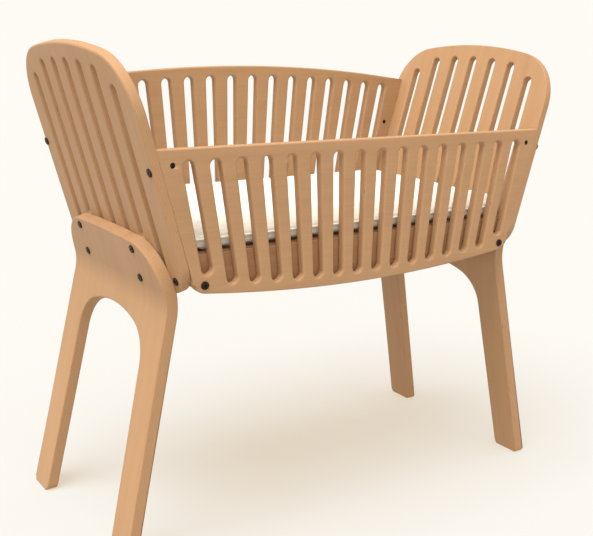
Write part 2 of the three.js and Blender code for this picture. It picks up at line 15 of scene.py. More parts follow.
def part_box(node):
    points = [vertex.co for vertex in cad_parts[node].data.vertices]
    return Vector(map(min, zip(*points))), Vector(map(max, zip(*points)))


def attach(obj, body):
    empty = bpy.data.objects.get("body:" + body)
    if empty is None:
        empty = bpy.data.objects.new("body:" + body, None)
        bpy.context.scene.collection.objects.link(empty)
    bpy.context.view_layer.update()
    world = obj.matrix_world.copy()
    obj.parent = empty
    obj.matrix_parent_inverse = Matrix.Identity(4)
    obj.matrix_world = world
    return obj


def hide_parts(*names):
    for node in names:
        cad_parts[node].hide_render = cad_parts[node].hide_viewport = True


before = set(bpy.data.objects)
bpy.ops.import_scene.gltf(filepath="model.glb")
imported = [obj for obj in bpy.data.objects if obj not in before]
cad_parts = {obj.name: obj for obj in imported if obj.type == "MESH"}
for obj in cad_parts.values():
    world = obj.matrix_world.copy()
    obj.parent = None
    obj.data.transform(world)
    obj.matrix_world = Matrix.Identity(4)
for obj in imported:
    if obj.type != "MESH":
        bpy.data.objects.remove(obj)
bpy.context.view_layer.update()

# %% [markdown]
# The two ends lean outward, so much of the crib is drawn in a leaning frame. Along its first axis
# a point is measured outward from the end panel's inner face, and along its second up the slope.
# The slope is known, and where the inner face would meet the floor is read from an end panel's
# CAD node.

# %% The leaning frame of an end
END_LEAN = math.radians(16)
PANEL = 0.018  # thickness of the side and end panels
panel_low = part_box("right_end_panel")[0]
INNER_FOOT = panel_low.x - (panel_low.z + PANEL * math.sin(END_LEAN)) * math.tan(END_LEAN)


def lean(point):
    """(outward from the nearer end panel's inner face, up its slope) of a point."""
    x = abs(point.x) - INNER_FOOT
    outward = x * math.cos(END_LEAN) - point.z * math.sin(END_LEAN)
    up = x * math.sin(END_LEAN) + point.z * math.cos(END_LEAN)
    return outward, up


def lean_back(outward, up, across, end):
    """The point at a place in the leaning frame of the right end (end = 1) or the left (-1)."""
    x = INNER_FOOT + outward * math.cos(END_LEAN) + up * math.sin(END_LEAN)
    return Vector((end * x, across, up * math.cos(END_LEAN) - outward * math.sin(END_LEAN)))


print("inner faces meet the floor at x =", round(INNER_FOOT, 4))

# %% [markdown]
# Every piece goes through the same few hands. An operator acts on all that is selected, so one
# helper picks a single piece. The others apply a modifier, put a piece's place into its mesh, and
# hand the finished piece over to the frame.


# %% Small helpers for selecting and finishing
def only(piece):
    """Makes one object the only selected and the active one."""
    bpy.ops.object.select_all(action="DESELECT")
    piece.select_set(True)
    bpy.context.view_layer.objects.active = piece


def apply_modifier(piece, kind, **settings):
    """Adds a modifier, sets it up and applies it."""
    only(piece)
    modifier = piece.modifiers.new(kind.title(), kind)
    for name, value in settings.items():
        setattr(modifier, name, value)
    bpy.ops.object.modifier_apply(modifier=modifier.name)


def keep_place(piece):
    """Moves a piece's place and turn into its mesh, so its object sits at the origin."""
    only(piece)
    bpy.ops.object.transform_apply(location=True, rotation=True, scale=True)


def finish_piece(piece, body, node, material):
    """Hands a finished piece over: where it rides, what it stands for, and its material."""
    piece.data.materials.clear()
    piece.data.materials.append(material)
    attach(piece, body)
    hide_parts(node)


# %% [markdown]
# ## Materials as expressions
# A material is a tree of nodes. Written out node by node it hides what it says, so a socket is
# wrapped in a small class whose arithmetic adds the Math nodes, and every other node comes from
# one method.


# %% A socket that does arithmetic
class Wire:
    """The output of a node; sums and products of wires add Math nodes."""

    def __init__(self, finish, socket):
        self.finish = finish
        self.socket = socket

    def math(self, operation, *values):
        inputs = dict(enumerate(values))
        return self.finish.node("ShaderNodeMath", {"operation": operation}, inputs)

    def __add__(self, other):
        return self.math("ADD", self, other)

    def __sub__(self, other):
        return self.math("SUBTRACT", self, other)

    def __rsub__(self, other):
        return self.math("SUBTRACT", other, self)

    def __mul__(self, other):
        return self.math("MULTIPLY", self, other)

    def __truediv__(self, other):
        return self.math("DIVIDE", self, other)

    def __mod__(self, other):
        return self.math("FLOORED_MODULO", self, other)

    def __abs__(self):
        return self.math("ABSOLUTE", self)

    __radd__ = __add__
    __rmul__ = __mul__

    def floor(self):
        return self.math("FLOOR", self)

    def sine(self):
        return self.math("SINE", self)

    def at_least(self, other):
        return self.math("MAXIMUM", self, other)


# %% [markdown]
# The second class is the material itself. Settings such as a Math node's operation are set before
# its sockets are filled, because they decide which sockets there are. Under the one method that
# adds any node are short names for the kinds that the finishes use most.


# %% A finish: a material being made
class Finish:
    """A material, the method that adds its nodes and the shader they feed."""

    def __init__(self, name, **constants):
        self.material = bpy.data.materials.new(name)
        self.material.use_nodes = True
        self.tree = self.material.node_tree
        self.shader = self.tree.nodes["Principled BSDF"]
        for socket, value in constants.items():
            self.shader.inputs[socket.replace("_", " ")].default_value = value

    def fill(self, socket, value):
        if isinstance(value, Wire):
            self.tree.links.new(value.socket, socket)
        else:
            socket.default_value = value

    def node(self, kind, settings=None, inputs=None, output=0):
        made = self.tree.nodes.new(kind)
        for name, value in (settings or {}).items():
            if name == "stops":
                self.set_stops(made, value)
            else:
                setattr(made, name, value)
        for socket, value in (inputs or {}).items():
            self.fill(made.inputs[socket], value)
        return Wire(self, made.outputs[output])

    def set_stops(self, made, stops):
        elements = made.color_ramp.elements
        while len(elements) < len(stops):
            elements.new(1.0)
        for element, (place, colour) in zip(elements, stops):
            element.position = place
            element.color = (*colour, 1.0)

    def feed(self, **wires):
        for socket, value in wires.items():
            self.fill(self.shader.inputs[socket.replace("_", " ")], value)

    def stretched(self, vector, x, y, z):
        """A vector scaled along each axis; a noise on it has so many waves to the metre."""
        by = {0: vector, 1: (x, y, z)}
        return self.node("ShaderNodeVectorMath", {"operation": "MULTIPLY"}, by)

    def noise(self, vector, scale=1.0, detail=3.0, roughness=0.5, distortion=0.0):
        return self.node("ShaderNodeTexNoise", {}, {
            "Vector": vector, "Scale": scale, "Detail": detail, "Roughness": roughness,
            "Distortion": distortion,
        })

    def between(self, value, low, high):
        """0 where value is below low, 1 above high, and a smooth step between."""
        inputs = {"Value": value, "From Min": low, "From Max": high}
        return self.node("ShaderNodeMapRange", {"interpolation_type": "SMOOTHSTEP"}, inputs)

    def blend(self, share, first, second):
        """The first colour, with a share of the second."""
        pair = [c if isinstance(c, Wire) else (*c[:3], 1.0) for c in (first, second)]
        inputs = {0: share, 6: pair[0], 7: pair[1]}
        return self.node("ShaderNodeMix", {"data_type": "RGBA"}, inputs, output=2)

    def parts(self, vector):
        """The three components of a vector."""
        split = self.node("ShaderNodeSeparateXYZ", {}, {0: vector}).socket.node
        return [Wire(self, socket) for socket in split.outputs]

    def bump(self, height, distance, strength):
        inputs = {"Height": height, "Distance": distance, "Strength": strength}
        return self.node("ShaderNodeBump", {}, inputs)


# %% [markdown]
# ## Birch plywood
# Plywood is thin veneers glued with their grain crossed, so its faces show grain and its edges
# show stripes. The pattern has to follow the sheet, also round the bend of a leg, so each piece
# carries a vector attribute, `sheet`: how far a point is along the face grain, across it, and
# down from the outer face. From its third number the material knows which ply a point is in.
# Where an edge is rounded over, the plies come out as fine contour lines by themselves, as on the
# real crib.


# %% The grain that faces and edges share
def under_painted_shade(colour, painted_shade):
    """A colour of the wood under painted shade, which darkens and reddens it for a piece in
    shade.
    """
    return [part * share for part, share in zip(colour, painted_shade)]


def grain(wood, sheet):
    """Fine streaks along the face grain and across it, slow patches, and short dark pores."""
    streaks = wood.noise(wood.stretched(sheet, 9.0, 230.0, 230.0),
                         detail=5.0, roughness=0.62, distortion=0.25)
    cross_streaks = wood.noise(wood.stretched(sheet, 210.0, 9.0, 210.0),
                               detail=4.0, roughness=0.6)
    patches = wood.noise(wood.stretched(sheet, 3.0, 9.0, 3.0), detail=2.0)
    pores = wood.noise(wood.stretched(sheet, 330.0, 2300.0, 2300.0), detail=2.0, roughness=0.7)
    return streaks, cross_streaks, patches, wood.between(pores, 0.60, 0.78)


# %% [markdown]
# The face veneer is peeled off a turning log, which gives it wide bands that drift across the
# sheet. Its colour runs from dark to light with the streaks, the bands and the patches together.

# %% The colour of the faces
SHADOW_WOOD = (0.300, 0.164, 0.077)
MIDDLE_WOOD = (0.352, 0.198, 0.097)
LIGHT_WOOD = (0.406, 0.237, 0.123)
PORE = (0.235, 0.118, 0.052)


def face_colour(wood, sheet, across, streaks, patches, pores, painted_shade):
    drift = wood.noise(wood.stretched(sheet, 1.6, 7.0, 0.0), detail=2.0, roughness=0.4)
    bands = (across * 160.0 + drift * 22.0).sine() * 0.5 + 0.5
    tone = streaks * 0.50 + bands * 0.06 + patches * 0.32 + 0.04
    stops = zip((0.18, 0.46, 0.80), (SHADOW_WOOD, MIDDLE_WOOD, LIGHT_WOOD))
    stops = [(place, under_painted_shade(colour, painted_shade)) for place, colour in stops]
    face = wood.node("ShaderNodeValToRGB", {"stops": stops}, {"Fac": tone})
    return wood.blend(pores * 0.30, face, under_painted_shade(PORE, painted_shade))


# %% [markdown]
# On an edge every second ply shows end grain, which drinks the oil and goes darker. Here and
# there a crossed ply has a small void, painted near-black as painted shade in the hollow, and a
# thin line of dark glue lies between each ply and the next.

# %% The colour of the edges
LONG_PLY = ((0.368, 0.206, 0.102), (0.425, 0.248, 0.129))
END_PLY = ((0.300, 0.160, 0.075), (0.380, 0.213, 0.106))
# Near-black painted shade inside the small voids of the crossed plies.
VOID_PAINTED_SHADE = (0.085, 0.045, 0.024)
GLUE = (0.20, 0.098, 0.045)


def edge_colour(wood, sheet, count, on_edge, streaks, cross_streaks, painted_shade):
    """The colour of the edge, and where its glue lines are."""
    crossed = count.floor() % 2.0
    long_ply = wood.blend(streaks, *[under_painted_shade(colour, painted_shade) for colour in LONG_PLY])
    end_ply = wood.blend(cross_streaks, *[under_painted_shade(colour, painted_shade) for colour in END_PLY])
    edge = wood.blend(crossed, long_ply, end_ply)
    void_shade_mask = wood.noise(wood.stretched(sheet, 55.0, 55.0, 700.0), detail=1.0)
    # Painted shade: where a crossed ply has a void, its hollow is painted near-black.
    edge = wood.blend(wood.between(void_shade_mask, 0.70, 0.74) * crossed * 0.75, edge, VOID_PAINTED_SHADE)
    from_glue = abs(count - (count + 0.5).floor())
    glue = (1.0 - wood.between(from_glue, 0.02, 0.11)) * on_edge
    return wood.blend(glue * 0.26, edge, GLUE), glue


# %% [markdown]
# A point is on a face if it is less than a ply deep, counted from the nearer face so that the
# lay-up is the same from both. The rubbed faces are a touch glossier than the raw edges, and the
# streaks, pores and glue lines are felt as well as seen.

# %% The plywood finish
NO_PAINTED_SHADE = (1.0, 1.0, 1.0)
# Painted shade: the base rails stand in shade under the mattress, so their wood is painted darker
# and redder.
RAIL_PAINTED_SHADE = (0.88, 0.78, 0.72)
GRAIN_RELIEF = 0.0002


# The last argument is painted shade, which darkens and reddens every colour of the wood; none by
# default.
def plywood(name, thickness, plies, painted_shade=NO_PAINTED_SHADE):
    wood = Finish(name, Roughness=0.5, Coat_Roughness=0.35, IOR=1.42, Specular_IOR_Level=0.28)
    ply = thickness / plies
    sheet = wood.node("ShaderNodeAttribute", {"attribute_name": "sheet"}, output="Vector")
    _, across, depth = wood.parts(sheet)
    count = ((thickness / 2 - abs(depth - thickness / 2)) / ply).at_least(0.0)
    on_edge = wood.between(count, 0.55, 0.95)
    streaks, cross_streaks, patches, pores = grain(wood, sheet)
    face = face_colour(wood, sheet, across, streaks, patches, pores, painted_shade)
    edge, glue = edge_colour(wood, sheet, count, on_edge, streaks, cross_streaks, painted_shade)
    height = streaks * 0.45 - pores * 0.55 + on_edge * (cross_streaks - glue * 0.8)
    wood.feed(Base_Color=wood.blend(on_edge, face, edge),
              Roughness=0.50 + streaks * 0.10 + pores * 0.12 + on_edge * 0.12 - patches * 0.06,
              Coat_Weight=0.05 - on_edge * 0.04,
              Normal=wood.bump(height, GRAIN_RELIEF, 0.6))
    print(name, "has", len(wood.tree.nodes), "nodes, plies of", round(ply * 1000, 2), "mm")
    return wood.material


plywood_18 = plywood("plywood_18", 0.018, 13)
plywood_24 = plywood("plywood_24", 0.024, 17)
plywood_12 = plywood("plywood_12", 0.012, 9)
# The rails' plywood is painted darker and redder, as painted shade.
plywood_rail_painted_shade = plywood("plywood_rail_painted_shade", 0.018, 13, painted_shade=RAIL_PAINTED_SHADE)

# %% [markdown]
# ## Rounding the edges over
# A router with a small quarter-round bit has run along every free edge of the panels, and round
# the slots. A Bevel modifier could do that, but on a face with many holes its corners cross. So
# each board is worked on as a joiner would: laid flat, its edges rounded in rings, its two faces
# laid anew between the rings, and only then stood up, or bent, into its place. The flat place is
# also where the plywood pattern comes from.

# %% A merged copy of a node, laid flat
FLAT = 0.00002  # points this near a face of the board are on it


def flat_copy(node, name, lay):
    """A copy of a node with its loose triangles merged and each point moved to lay(point)."""
    piece = bpy.data.objects.new(name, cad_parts[node].data.copy())
    bpy.context.scene.collection.objects.link(piece)
    only(piece)
    bpy.ops.object.mode_set(mode="EDIT")
    bpy.ops.mesh.select_all(action="SELECT")
    bpy.ops.mesh.remove_doubles(threshold=FLAT)
    bpy.ops.object.mode_set(mode="OBJECT")
    for vertex in piece.data.vertices:
        vertex.co = lay(vertex.co)
    return piece


# %% [markdown]
# The rim of a face is where it meets the walls. Its edges join into loops, one for the outline
# and one for each slot and bore. For each edge the direction into the face is kept, to round
# towards it.


# %% Find the rim of a face
def rim_edges(face):
    """The edges round a face made of triangles, each with its direction into the face."""
    inside = set(face)
    inward = {}
    for part in face:
        for edge in part.edges:
            if all(near in inside for near in edge.link_faces):
                continue
            first, last = [v.co for v in edge.verts]
            along = (last - first).normalized()
            turned = Vector((-along.y, along.x, 0))
            faces_in = turned.dot(part.calc_center_median() - first) > 0
            inward[edge] = turned if faces_in else -turned
    return inward


def joined_loops(edges):
    """Edges sorted into loops, always in the same order."""
    left = dict.fromkeys(edges)
    loops = []
    while left:
        loop, front = [], [left.popitem()[0]]
        while front:
            edge = front.pop()
            loop.append(edge)
            for near in [e for v in edge.verts for e in v.link_edges if e in left]:
                del left[near]
                front.append(near)
        loops.append(loop)
    return loops


def extent(loop):
    """The longer side of a loop's box."""
    corners = [v.co for e in loop for v in e.verts]
    return max(max(c[i] for c in corners) - min(c[i] for c in corners) for i in range(2))


# %% [markdown]
# A ring is the rim moved inward. At a corner the two edges that meet there decide together how a
# point moves, so each edge keeps its own distance, which may differ where a rounded edge meets a
# tight joint.

# %% Round one loop of the rim in rings
STRAIGHT_ON = 0.05  # sine of the turn below which two edges count as one straight line


def corner_move(ways, reaches):
    """How a point moves so that both edges at it move inward by their reach."""
    (a, b), (first, last) = ways, reaches
    cross = a.x * b.y - a.y * b.x
    if abs(cross) < STRAIGHT_ON:
        return (a + b).normalized() * (first + last) / 2
    return Vector(((first * b.y - last * a.y) / cross, (last * a.x - first * b.x) / cross, 0))


def round_loop(form, loop, inward, reach, depth, sink, steps):
    """Rounds a loop; reach gives each edge's radius. Returns the edges of the innermost ring."""
    meeting = {}
    for edge in loop:
        for vert in edge.verts:
            meeting.setdefault(vert, []).append(edge)
    move, drop = {}, {}
    for v, edges in meeting.items():
        move[v] = corner_move([inward[e] for e in edges], [reach[e] for e in edges])
        drop[v] = sum(reach[e] for e in edges) / 2
    start = {v: v.co.copy() for v in meeting}
    ring = {v: v for v in meeting}
    for v in meeting:
        v.co.z = depth + sink * drop[v]
    for step in range(1, steps + 1):
        angle = step / steps * math.pi / 2
        following = {}
        for v in meeting:
            place = start[v] + move[v] * (1 - math.cos(angle))
            place.z = depth + sink * drop[v] * (1 - math.sin(angle))
            following[v] = form.verts.new(place)
        for edge in loop:
            a, b = edge.verts
            form.faces.new((ring[a], ring[b], following[b], following[a]))
        ring = following
    return [form.edges.get((ring[e.verts[0]], ring[e.verts[1]])) for e in loop]


# %% [markdown]
# With a rim rounded, the face is filled again between its innermost rings. Bores are left crisp,
# as a bolt or a nut sits in each.

# %% Round a face over and lay it anew
BORE = 0.016  # loops smaller than this are bores


def round_face(form, depth, sink, radius, share, stand, steps):
    """Rounds the face at a depth of the flat board. Returns how many edges were rounded."""
    face = [f for f in form.faces if all(abs(v.co.z - depth) < FLAT for v in f.verts)]
    inward = rim_edges(face)
    bmesh.ops.delete(form, geom=face, context="FACES")
    rim = []
    rounded = 0
    for loop in joined_loops(inward):
        size = extent(loop)
        if size < BORE:
            rim += loop
            continue
        reach = {}
        for edge in loop:
            middle = (edge.verts[0].co + edge.verts[1].co) / 2
            reach[edge] = radius * share(stand(middle), size)
        rim += round_loop(form, loop, inward, reach, depth, sink, steps)
        rounded += len(loop)
    bmesh.ops.triangle_fill(form, use_beauty=True, use_dissolve=False, edges=rim,
                            normal=(0, 0, -sink))
    return rounded


# %% [markdown]
# Both faces are rounded, the sheet is cut across where it will bend, and every point writes down
# its place in the flat sheet before it is stood up.

# %% Round a board over and put it back
SMOOTH_WOOD = math.radians(38)  # wood stays crisp where its faces turn by more than this
LOG_SKEW = 0.37  # a sheet starts this far across the log for each metre along it


def round_board(piece, thickness, radius, share, stand, folds=(), steps=3):
    """share(point, extent of the loop) is how much of the radius an edge gets."""
    form = bmesh.new()
    form.from_mesh(piece.data)
    rounded = round_face(form, 0.0, 1, radius, share, stand, steps)
    rounded += round_face(form, thickness, -1, radius, share, stand, steps)
    for fold in folds:
        bmesh.ops.bisect_plane(form, geom=form.verts[:] + form.edges[:] + form.faces[:],
                               dist=FLAT, plane_co=(fold, 0, 0), plane_no=(1, 0, 0))
    sheet = form.verts.layers.float_vector.new("sheet")
    for vert in form.verts:
        vert[sheet] = vert.co
        vert.co = stand(vert.co)
    bmesh.ops.recalc_face_normals(form, faces=form.faces)
    open_edges = sum(1 for e in form.edges if not e.is_manifold)
    form.to_mesh(piece.data)
    form.free()
    only(piece)
    bpy.ops.object.shade_smooth_by_angle(angle=SMOOTH_WOOD)
    apply_modifier(piece, "WEIGHTED_NORMAL", mode="FACE_AREA", weight=50, keep_sharp=True)
    print(piece.name, "rounded along", rounded, "edges,", len(piece.data.polygons), "faces,",
          open_edges, "open")


def own_veneer(piece, start):
    """Starts a piece's sheet somewhere else in the log, so no two pieces share a veneer."""
    for value in piece.data.attributes["sheet"].data:
        value.vector = value.vector + Vector((start, start * LOG_SKEW, 0))


# %% [markdown]
# ## The side panels and the mattress board
# The two side panels stand upright between the ends. Where a panel butts against an end its edge
# is only broken, not rounded, which leaves the fine dark seam of a tight joint.

# %% Round over the side panels
RADIUS_SIDE = 0.0042
HALF_WIDTH = 0.248  # from the crib's middle to the side panels' outer faces
OUTLINE = 0.40  # loops larger than this are outlines, smaller ones slots
TOUCHING = 0.002  # edges this near a face that they butt against


def side_share(point, size):
    """Slots get the whole radius, the long edges most of it and the butting ends hardly any."""
    if size < OUTLINE:
        return 1.0
    return 0.09 if abs(lean(point)[0]) < TOUCHING else 0.7


for side, start in ((-1, 1.7), (1, 5.3)):
    node = "front_side_panel" if side < 0 else "back_side_panel"
    piece = flat_copy(node, node + "_wood", lambda p: Vector((p.x, p.z, HALF_WIDTH - side * p.y)))
    round_board(piece, PANEL, RADIUS_SIDE, side_share,
                lambda f: Vector((f.x, side * (HALF_WIDTH - f.z), f.y)))
    own_veneer(piece, start)
    finish_piece(piece, "frame", node, plywood_18)

# %% [markdown]
# The board lies level under the mattress, with its grain across the crib. Nobody touches its
# edges, so they are only broken.

# %% Round over the mattress board
BOARD = 0.012
RADIUS_BOARD = 0.0012
board_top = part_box("mattress_board")[1].z
board = flat_copy("mattress_board", "mattress_board_wood",
                  lambda p: Vector((p.y, p.x, board_top - p.z)))
round_board(board, BOARD, RADIUS_BOARD, lambda point, size: 1.0,
            lambda f: Vector((f.y, f.x, board_top - f.z)), steps=2)
own_veneer(board, 15.2)
finish_piece(board, "frame", "mattress_board", plywood_12)

# %% [markdown]
# The base rails carry the board in a rebate, so their inner face has a step and isn't one flat
# face. Their few edges are only broken, which a Bevel modifier does well. They lie in an upright
# sheet too. Their wood is painted darker and redder than the panels', as painted shade for the
# shade they stand in under the mattress.

# %% Break the edges of the base rails
RADIUS_RAIL = 0.0006
SMOOTH_RAIL = math.radians(30)
for side, start in ((-1, 9.1), (1, 12.4)):
    node = "front_base_rail" if side < 0 else "back_base_rail"
    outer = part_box(node)[0].y if side < 0 else -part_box(node)[1].y
    rail = flat_copy(node, node + "_wood", lambda p: p.copy())
    apply_modifier(rail, "BEVEL", width=RADIUS_RAIL, segments=2, limit_method="ANGLE",
                   angle_limit=math.radians(60))
    sheet = rail.data.attributes.new("sheet", "FLOAT_VECTOR", "POINT")
    for vertex, value in zip(rail.data.vertices, sheet.data):
        value.vector = (vertex.co.x + start, vertex.co.z, -outer - side * vertex.co.y)
    only(rail)
    bpy.ops.object.shade_smooth_by_angle(angle=SMOOTH_RAIL)
    # The rails get the copy of the plywood with painted shade.
    finish_piece(rail, "frame", node, plywood_rail_painted_shade)
    print(rail.name, "has", len(rail.data.polygons), "faces")

# %% [markdown]
# ## The end panels
# The slots and the outer rim have the full round-over or nearly so, and it catches the light
# along the arched top. The inner rim, where the side panels butt against it, is only broken.

# %% Round over the end panels
RADIUS_END = 0.0042


def end_share(point, size):
    """Slots get most of the radius, the outer rim all of it and the inner rim a quarter."""
    if size < OUTLINE:
        return 0.8
    return 0.25 if lean(point)[0] < TOUCHING else 1.0


def lay_end(point):
    outward, up = lean(point)
    return Vector((up, point.y, PANEL - outward))


for name, end, start in (("left", -1, 21.4), ("right", 1, 26.9)):
    node = name + "_end_panel"
    piece = flat_copy(node, node + "_wood", lay_end)
    round_board(piece, PANEL, RADIUS_END, end_share,
                lambda f: lean_back(PANEL - f.z, f.x, f.y, end))
    own_veneer(piece, start)
    finish_piece(piece, "frame", node, plywood_18)

# %% [markdown]
# ## The bent leg frames
# A leg frame is pressed in one piece: flat where it is bolted to the end panel, bent through 28
# degrees and flat again to the floor. It is unrolled, rounded over while flat, cut across at fine
# steps where the bend comes, and rolled up again. The grain runs down the legs.

# %% Unroll and roll a leg
LEG = 0.024  # thickness of the leg frames
LEG_SPLAY = math.radians(12)
SEAT_GAP = 0.0003  # between the leg frame and the end panel
BEND_RADIUS = 0.110  # to the middle of the sheet
BEND_BELOW_PANEL = 0.0135  # middle of the bend, below the end panel's lower edge
MIDDLE = PANEL + SEAT_GAP + LEG / 2
BEND_ANGLE = END_LEAN + LEG_SPLAY
panel_foot = (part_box("left_end_panel")[0].z + PANEL * math.sin(END_LEAN)) / math.cos(END_LEAN)
BEND_START = panel_foot - BEND_BELOW_PANEL + BEND_RADIUS * math.tan(BEND_ANGLE / 2)
BEND_LENGTH = BEND_RADIUS * BEND_ANGLE


def unroll(point):
    """(along the sheet, across it, depth below the outer face) of a point of a leg frame."""
    outward, up = lean(point)
    right = MIDDLE + BEND_RADIUS - outward
    below = BEND_START - up
    turned = min(max(math.atan2(below, right), 0.0), BEND_ANGLE)
    radius = right * math.cos(turned) + below * math.sin(turned)
    past = below * math.cos(turned) - right * math.sin(turned)
    along = BEND_START - turned * BEND_RADIUS - past
    return Vector((along, point.y, LEG / 2 - BEND_RADIUS + radius))


def roll(flat, end):
    """Where a point of the flat sheet is once it is bent; the feet end at the floor."""
    turned = min(max((BEND_START - flat.x) / BEND_RADIUS, 0.0), BEND_ANGLE)
    radius = BEND_RADIUS - LEG / 2 + flat.z
    past = BEND_START - turned * BEND_RADIUS - flat.x
    right = radius * math.cos(turned) - past * math.sin(turned)
    below = radius * math.sin(turned) + past * math.cos(turned)
    point = lean_back(MIDDLE + BEND_RADIUS - right, BEND_START - below, flat.y, end)
    point.z = max(point.z, 0.0)
    return point


print("the bend is", round(BEND_LENGTH * 1000, 1), "mm long in the middle of the sheet")

# %% [markdown]
# The rims that lie against the end panel or stand on the floor are only broken. All others are
# rounded.

# %% Round over the leg frames
RADIUS_LEG = 0.0030
FOLDS = 20
bend_folds = [BEND_START - BEND_LENGTH * i / FOLDS for i in range(FOLDS + 1)]


def leg_share(point, size):
    return 0.3 if point.z < TOUCHING or lean(point)[0] < PANEL + TOUCHING else 1.0


for name, end, start in (("left", -1, 33.3), ("right", 1, 38.6)):
    node = name + "_leg_frame"
    piece = flat_copy(node, node + "_wood", unroll)
    depths = [round(v.co.z * 1000, 3) for v in piece.data.vertices]
    print(node, "lies flat from", min(depths), "to", max(depths), "mm deep")
    round_board(piece, LEG, RADIUS_LEG, leg_share, lambda f: roll(f, end), folds=bend_folds)
    own_veneer(piece, start)
    finish_piece(piece, "frame", node, plywood_24)

# %% [markdown]
# ## Bolts and barrel nuts
# Dark bronze-coated furniture bolts with a flat, round head and a hexagon socket hold the crib
# together, and barrel nuts with a screwdriver slot lie across their ends. The coating is dark and
# satin, and rubs brown on the rims. The threaded inserts are of dull zinc.


# %% The bronze coating and the dull zinc of the inserts
def coating(name, dark, bare, rough):
    metal = Finish(name, Metallic=0.85, Roughness=rough)
    place = metal.node("ShaderNodeTexCoord", output="Object")
    worn = metal.noise(place, scale=420.0, detail=4.0, roughness=0.6)
    fine = metal.noise(place, scale=2600.0, detail=2.0)
    colour = metal.blend(metal.between(worn, 0.42, 0.75), dark, bare)
    metal.feed(Base_Color=colour, Roughness=rough + worn * 0.22 - 0.1,
               Normal=metal.bump(fine, 0.00004, 0.5))
    print(name, "has", len(metal.tree.nodes), "nodes")
    return metal.material


bronze = coating("bronze", (0.013, 0.010, 0.008), (0.060, 0.037, 0.024), 0.46)
zinc = coating("zinc", (0.26, 0.25, 0.23), (0.42, 0.41, 0.38), 0.42)

# %% [markdown]
# A fastener is shaped by picking some of its faces in edit mode, by the way they face, and by
# cutting its socket or slot out with a second solid.

# %% Helpers for shaping a fastener
SMOOTH_METAL = math.radians(40)


def pick_faces(piece, test):
    """Selects, in edit mode, the faces whose normal passes the test."""
    only(piece)
    bpy.ops.object.mode_set(mode="EDIT")
    bpy.ops.mesh.select_mode(type="FACE")
    bpy.ops.mesh.select_all(action="DESELECT")
    bpy.ops.object.mode_set(mode="OBJECT")
    for face in piece.data.polygons:
        face.select = test(face.normal)
    bpy.ops.object.mode_set(mode="EDIT")


def cut_away(piece, cutter):
    """Takes a cutter's shape out of a piece, which is then shaded smooth."""
    apply_modifier(piece, "BOOLEAN", operation="DIFFERENCE", solver="EXACT", object=cutter)
    bpy.data.objects.remove(cutter, do_unlink=True)
    only(piece)
    bpy.ops.object.shade_smooth_by_angle(angle=SMOOTH_METAL)
    print(piece.name, "has", len(piece.data.polygons), "faces")


# %% [markdown]
# One bolt of each length is modelled at the origin, head up. The head is a low cylinder. Its
# underside is inset to the shank's radius and extruded down, its top rim is bevelled, and a
# six-sided prism is cut out of it for the key.

# %% Model a bolt at the origin
HEAD_RADIUS = 0.0075
HEAD_HEIGHT = 0.0026
HEAD_BEVEL = 0.0010
SHANK_RADIUS = 0.003
KEY = 0.004  # across the flats of the hexagon socket


def model_bolt(name, length):
    bpy.ops.object.select_all(action="DESELECT")
    bpy.ops.mesh.primitive_cylinder_add(vertices=32, radius=HEAD_RADIUS, depth=HEAD_HEIGHT,
                                        location=(0, 0, HEAD_HEIGHT / 2))
    bolt = bpy.context.object
    bolt.name = name
    keep_place(bolt)
    pick_faces(bolt, lambda normal: normal.z > 0.9)
    bpy.ops.mesh.bevel(offset=HEAD_BEVEL, segments=4, affect="EDGES")
    bpy.ops.object.mode_set(mode="OBJECT")
    pick_faces(bolt, lambda normal: normal.z < -0.9)
    bpy.ops.mesh.inset(thickness=HEAD_RADIUS - SHANK_RADIUS)
    bpy.ops.mesh.extrude_region_move(TRANSFORM_OT_translate={"value": (0, 0, -length)})
    bpy.ops.object.mode_set(mode="OBJECT")
    bpy.ops.mesh.primitive_cylinder_add(vertices=6, radius=KEY / math.sqrt(3),
                                        depth=2 * HEAD_HEIGHT,
                                        location=(0, 0, HEAD_HEIGHT * 1.25))
    cut_away(bolt, bpy.context.object)
    return bolt


# %% [markdown]
# A barrel nut is a plain pin with a slot sawn across one end and a chamfered rim.

# %% Model a barrel nut at the origin
NUT_RADIUS = 0.005
NUT_BEVEL = 0.0006
SAW_WIDTH = 0.0014
SAW_DEPTH = 0.0012


def model_nut(name, length):
    bpy.ops.mesh.primitive_cylinder_add(vertices=28, radius=NUT_RADIUS, depth=length)
    nut = bpy.context.object
    nut.name = name
    pick_faces(nut, lambda normal: abs(normal.z) > 0.9)
    bpy.ops.mesh.bevel(offset=NUT_BEVEL, segments=2, affect="EDGES")
    bpy.ops.object.mode_set(mode="OBJECT")
    bpy.ops.mesh.primitive_cube_add(size=1, location=(0, 0, length / 2))
    saw = bpy.context.object
    saw.scale = (SAW_WIDTH, 3 * NUT_RADIUS, 2 * SAW_DEPTH)
    keep_place(saw)
    cut_away(nut, saw)
    return nut


# %% [markdown]
# Each fastener's place is read from its CAD node: the direction is known from where it sits, and
# the node's extent along and across it gives the rest. A bolt's key is left at an angle of its
# own, as tightening leaves it.


# %% Put a copy of a master where its node is
def out_of_end(node):
    """The direction out of the end that a fastener's node is nearer."""
    sign = 1 if "right" in node else -1
    return Vector((sign * math.cos(END_LEAN), 0, -math.sin(END_LEAN)))


def out_of_side(node):
    return Vector((0, -1 if "front" in node else 1, 0))


def span_along(node, axis):
    """Lowest and highest reach of a node along an axis, and its middle across it."""
    points = [v.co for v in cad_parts[node].data.vertices]
    reach = [p.dot(axis) for p in points]
    side = axis.orthogonal().normalized()
    middle = Vector((0, 0, 0))
    for across in (side, axis.cross(side)):
        wide = [p.dot(across) for p in points]
        middle += across * (min(wide) + max(wide)) / 2
    return min(reach), max(reach), middle


